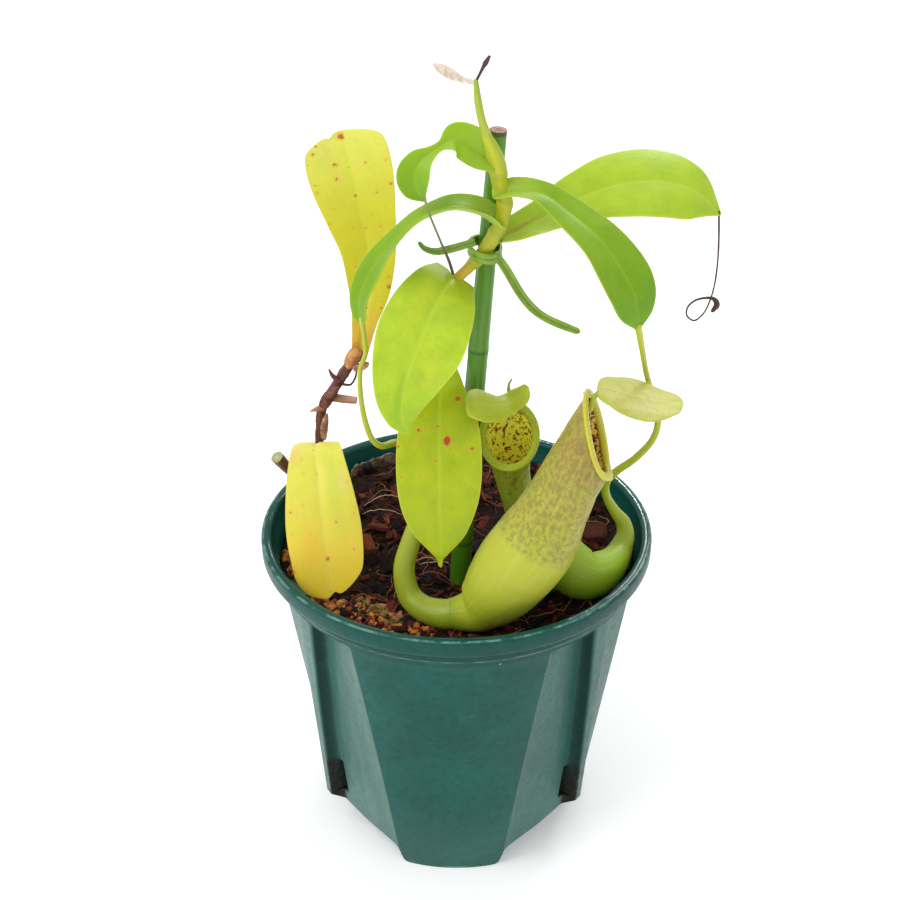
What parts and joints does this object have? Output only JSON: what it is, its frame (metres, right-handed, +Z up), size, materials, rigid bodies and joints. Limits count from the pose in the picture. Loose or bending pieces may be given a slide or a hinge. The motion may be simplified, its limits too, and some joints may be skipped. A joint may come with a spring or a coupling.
{
  "type": "potted pitcher plant",
  "caption": "Young tropical pitcher plant tied to a stake in a tapered slit pot, with strap leaves on tendrils and hollow lidded pitchers.",
  "frame": {"origin": "middle of the whole plant's footprint, on the surface it stands on; the pot's axis is 7.9 mm from it along -X", "axes": "+Z up, parallel to the pot's axis and the longest extent; -Y towards the front, where the pitchers are"},
  "size_m": [0.1208, 0.105, 0.2282],
  "materials": {
    "pot_plastic": "satin moulded plastic, slightly scuffed",
    "stake_bamboo": "dyed bamboo, satin",
    "stem": "living stem, satin",
    "growing_tip": "living shoot, satin",
    "dry_brown": "dry and dull",
    "papery": "dry and papery",
    "cut_stem": "dull, with a greyish cut end",
    "tie": "glossy film over a wire",
    "leaf_yellow": "waxy, with brown spots",
    "leaf_golden": "waxy, with brown spots",
    "leaf_green": "waxy",
    "leaf_lime": "waxy",
    "leaf_spotted": "waxy, with red spots",
    "sheath": "dry and papery",
    "tendril": "satin",
    "large_pitcher": "satin, mottled purple brown",
    "small_pitcher": "satin, spotted inside",
    "lid": "satin",
    "husk": "dull fibre",
    "potting_mix": "damp, crumbly and dull",
    "bark": "dull"
  },
  "bodies": {
    "root": {"pot": "pot_plastic", "bamboo_stake": "stake_bamboo", "main_stem": "stem", "growing_tip": "growing_tip", "dry_tip": "dry_brown", "dry_papery_leaf": "papery", "old_stem": "dry_brown", "old_stem_stub": "dry_brown", "cut_side_stem": "cut_stem", "stake_tie": "tie", "leaf_yellow_upright": "leaf_yellow", "leaf_yellow_drooping": "leaf_golden", "leaf_left_arching": "leaf_green", "leaf_right_front": "leaf_green", "leaf_right_back": "leaf_lime", "leaf_upper_left": "leaf_green", "leaf_front": "leaf_lime", "leaf_low_front": "leaf_spotted", "old_stem_sheath": "sheath", "tendril_left": "tendril", "tendril_right": "tendril", "dry_tendril_right": "dry_brown", "dry_tendril_upper": "dry_brown", "large_pitcher": "large_pitcher", "small_pitcher": "small_pitcher", "large_pitcher_lid": "lid", "small_pitcher_lid": "lid", "husk_strip": "husk", "potting_mix": "potting_mix", "bark_1": "bark", "bark_2": "bark", "bark_3": "bark", "bark_4": "bark", "bark_5": "bark", "bark_6": "bark", "bark_7": "bark", "bark_8": "bark", "bark_9": "bark", "bark_10": "bark"}
  },
  "joints": []
}
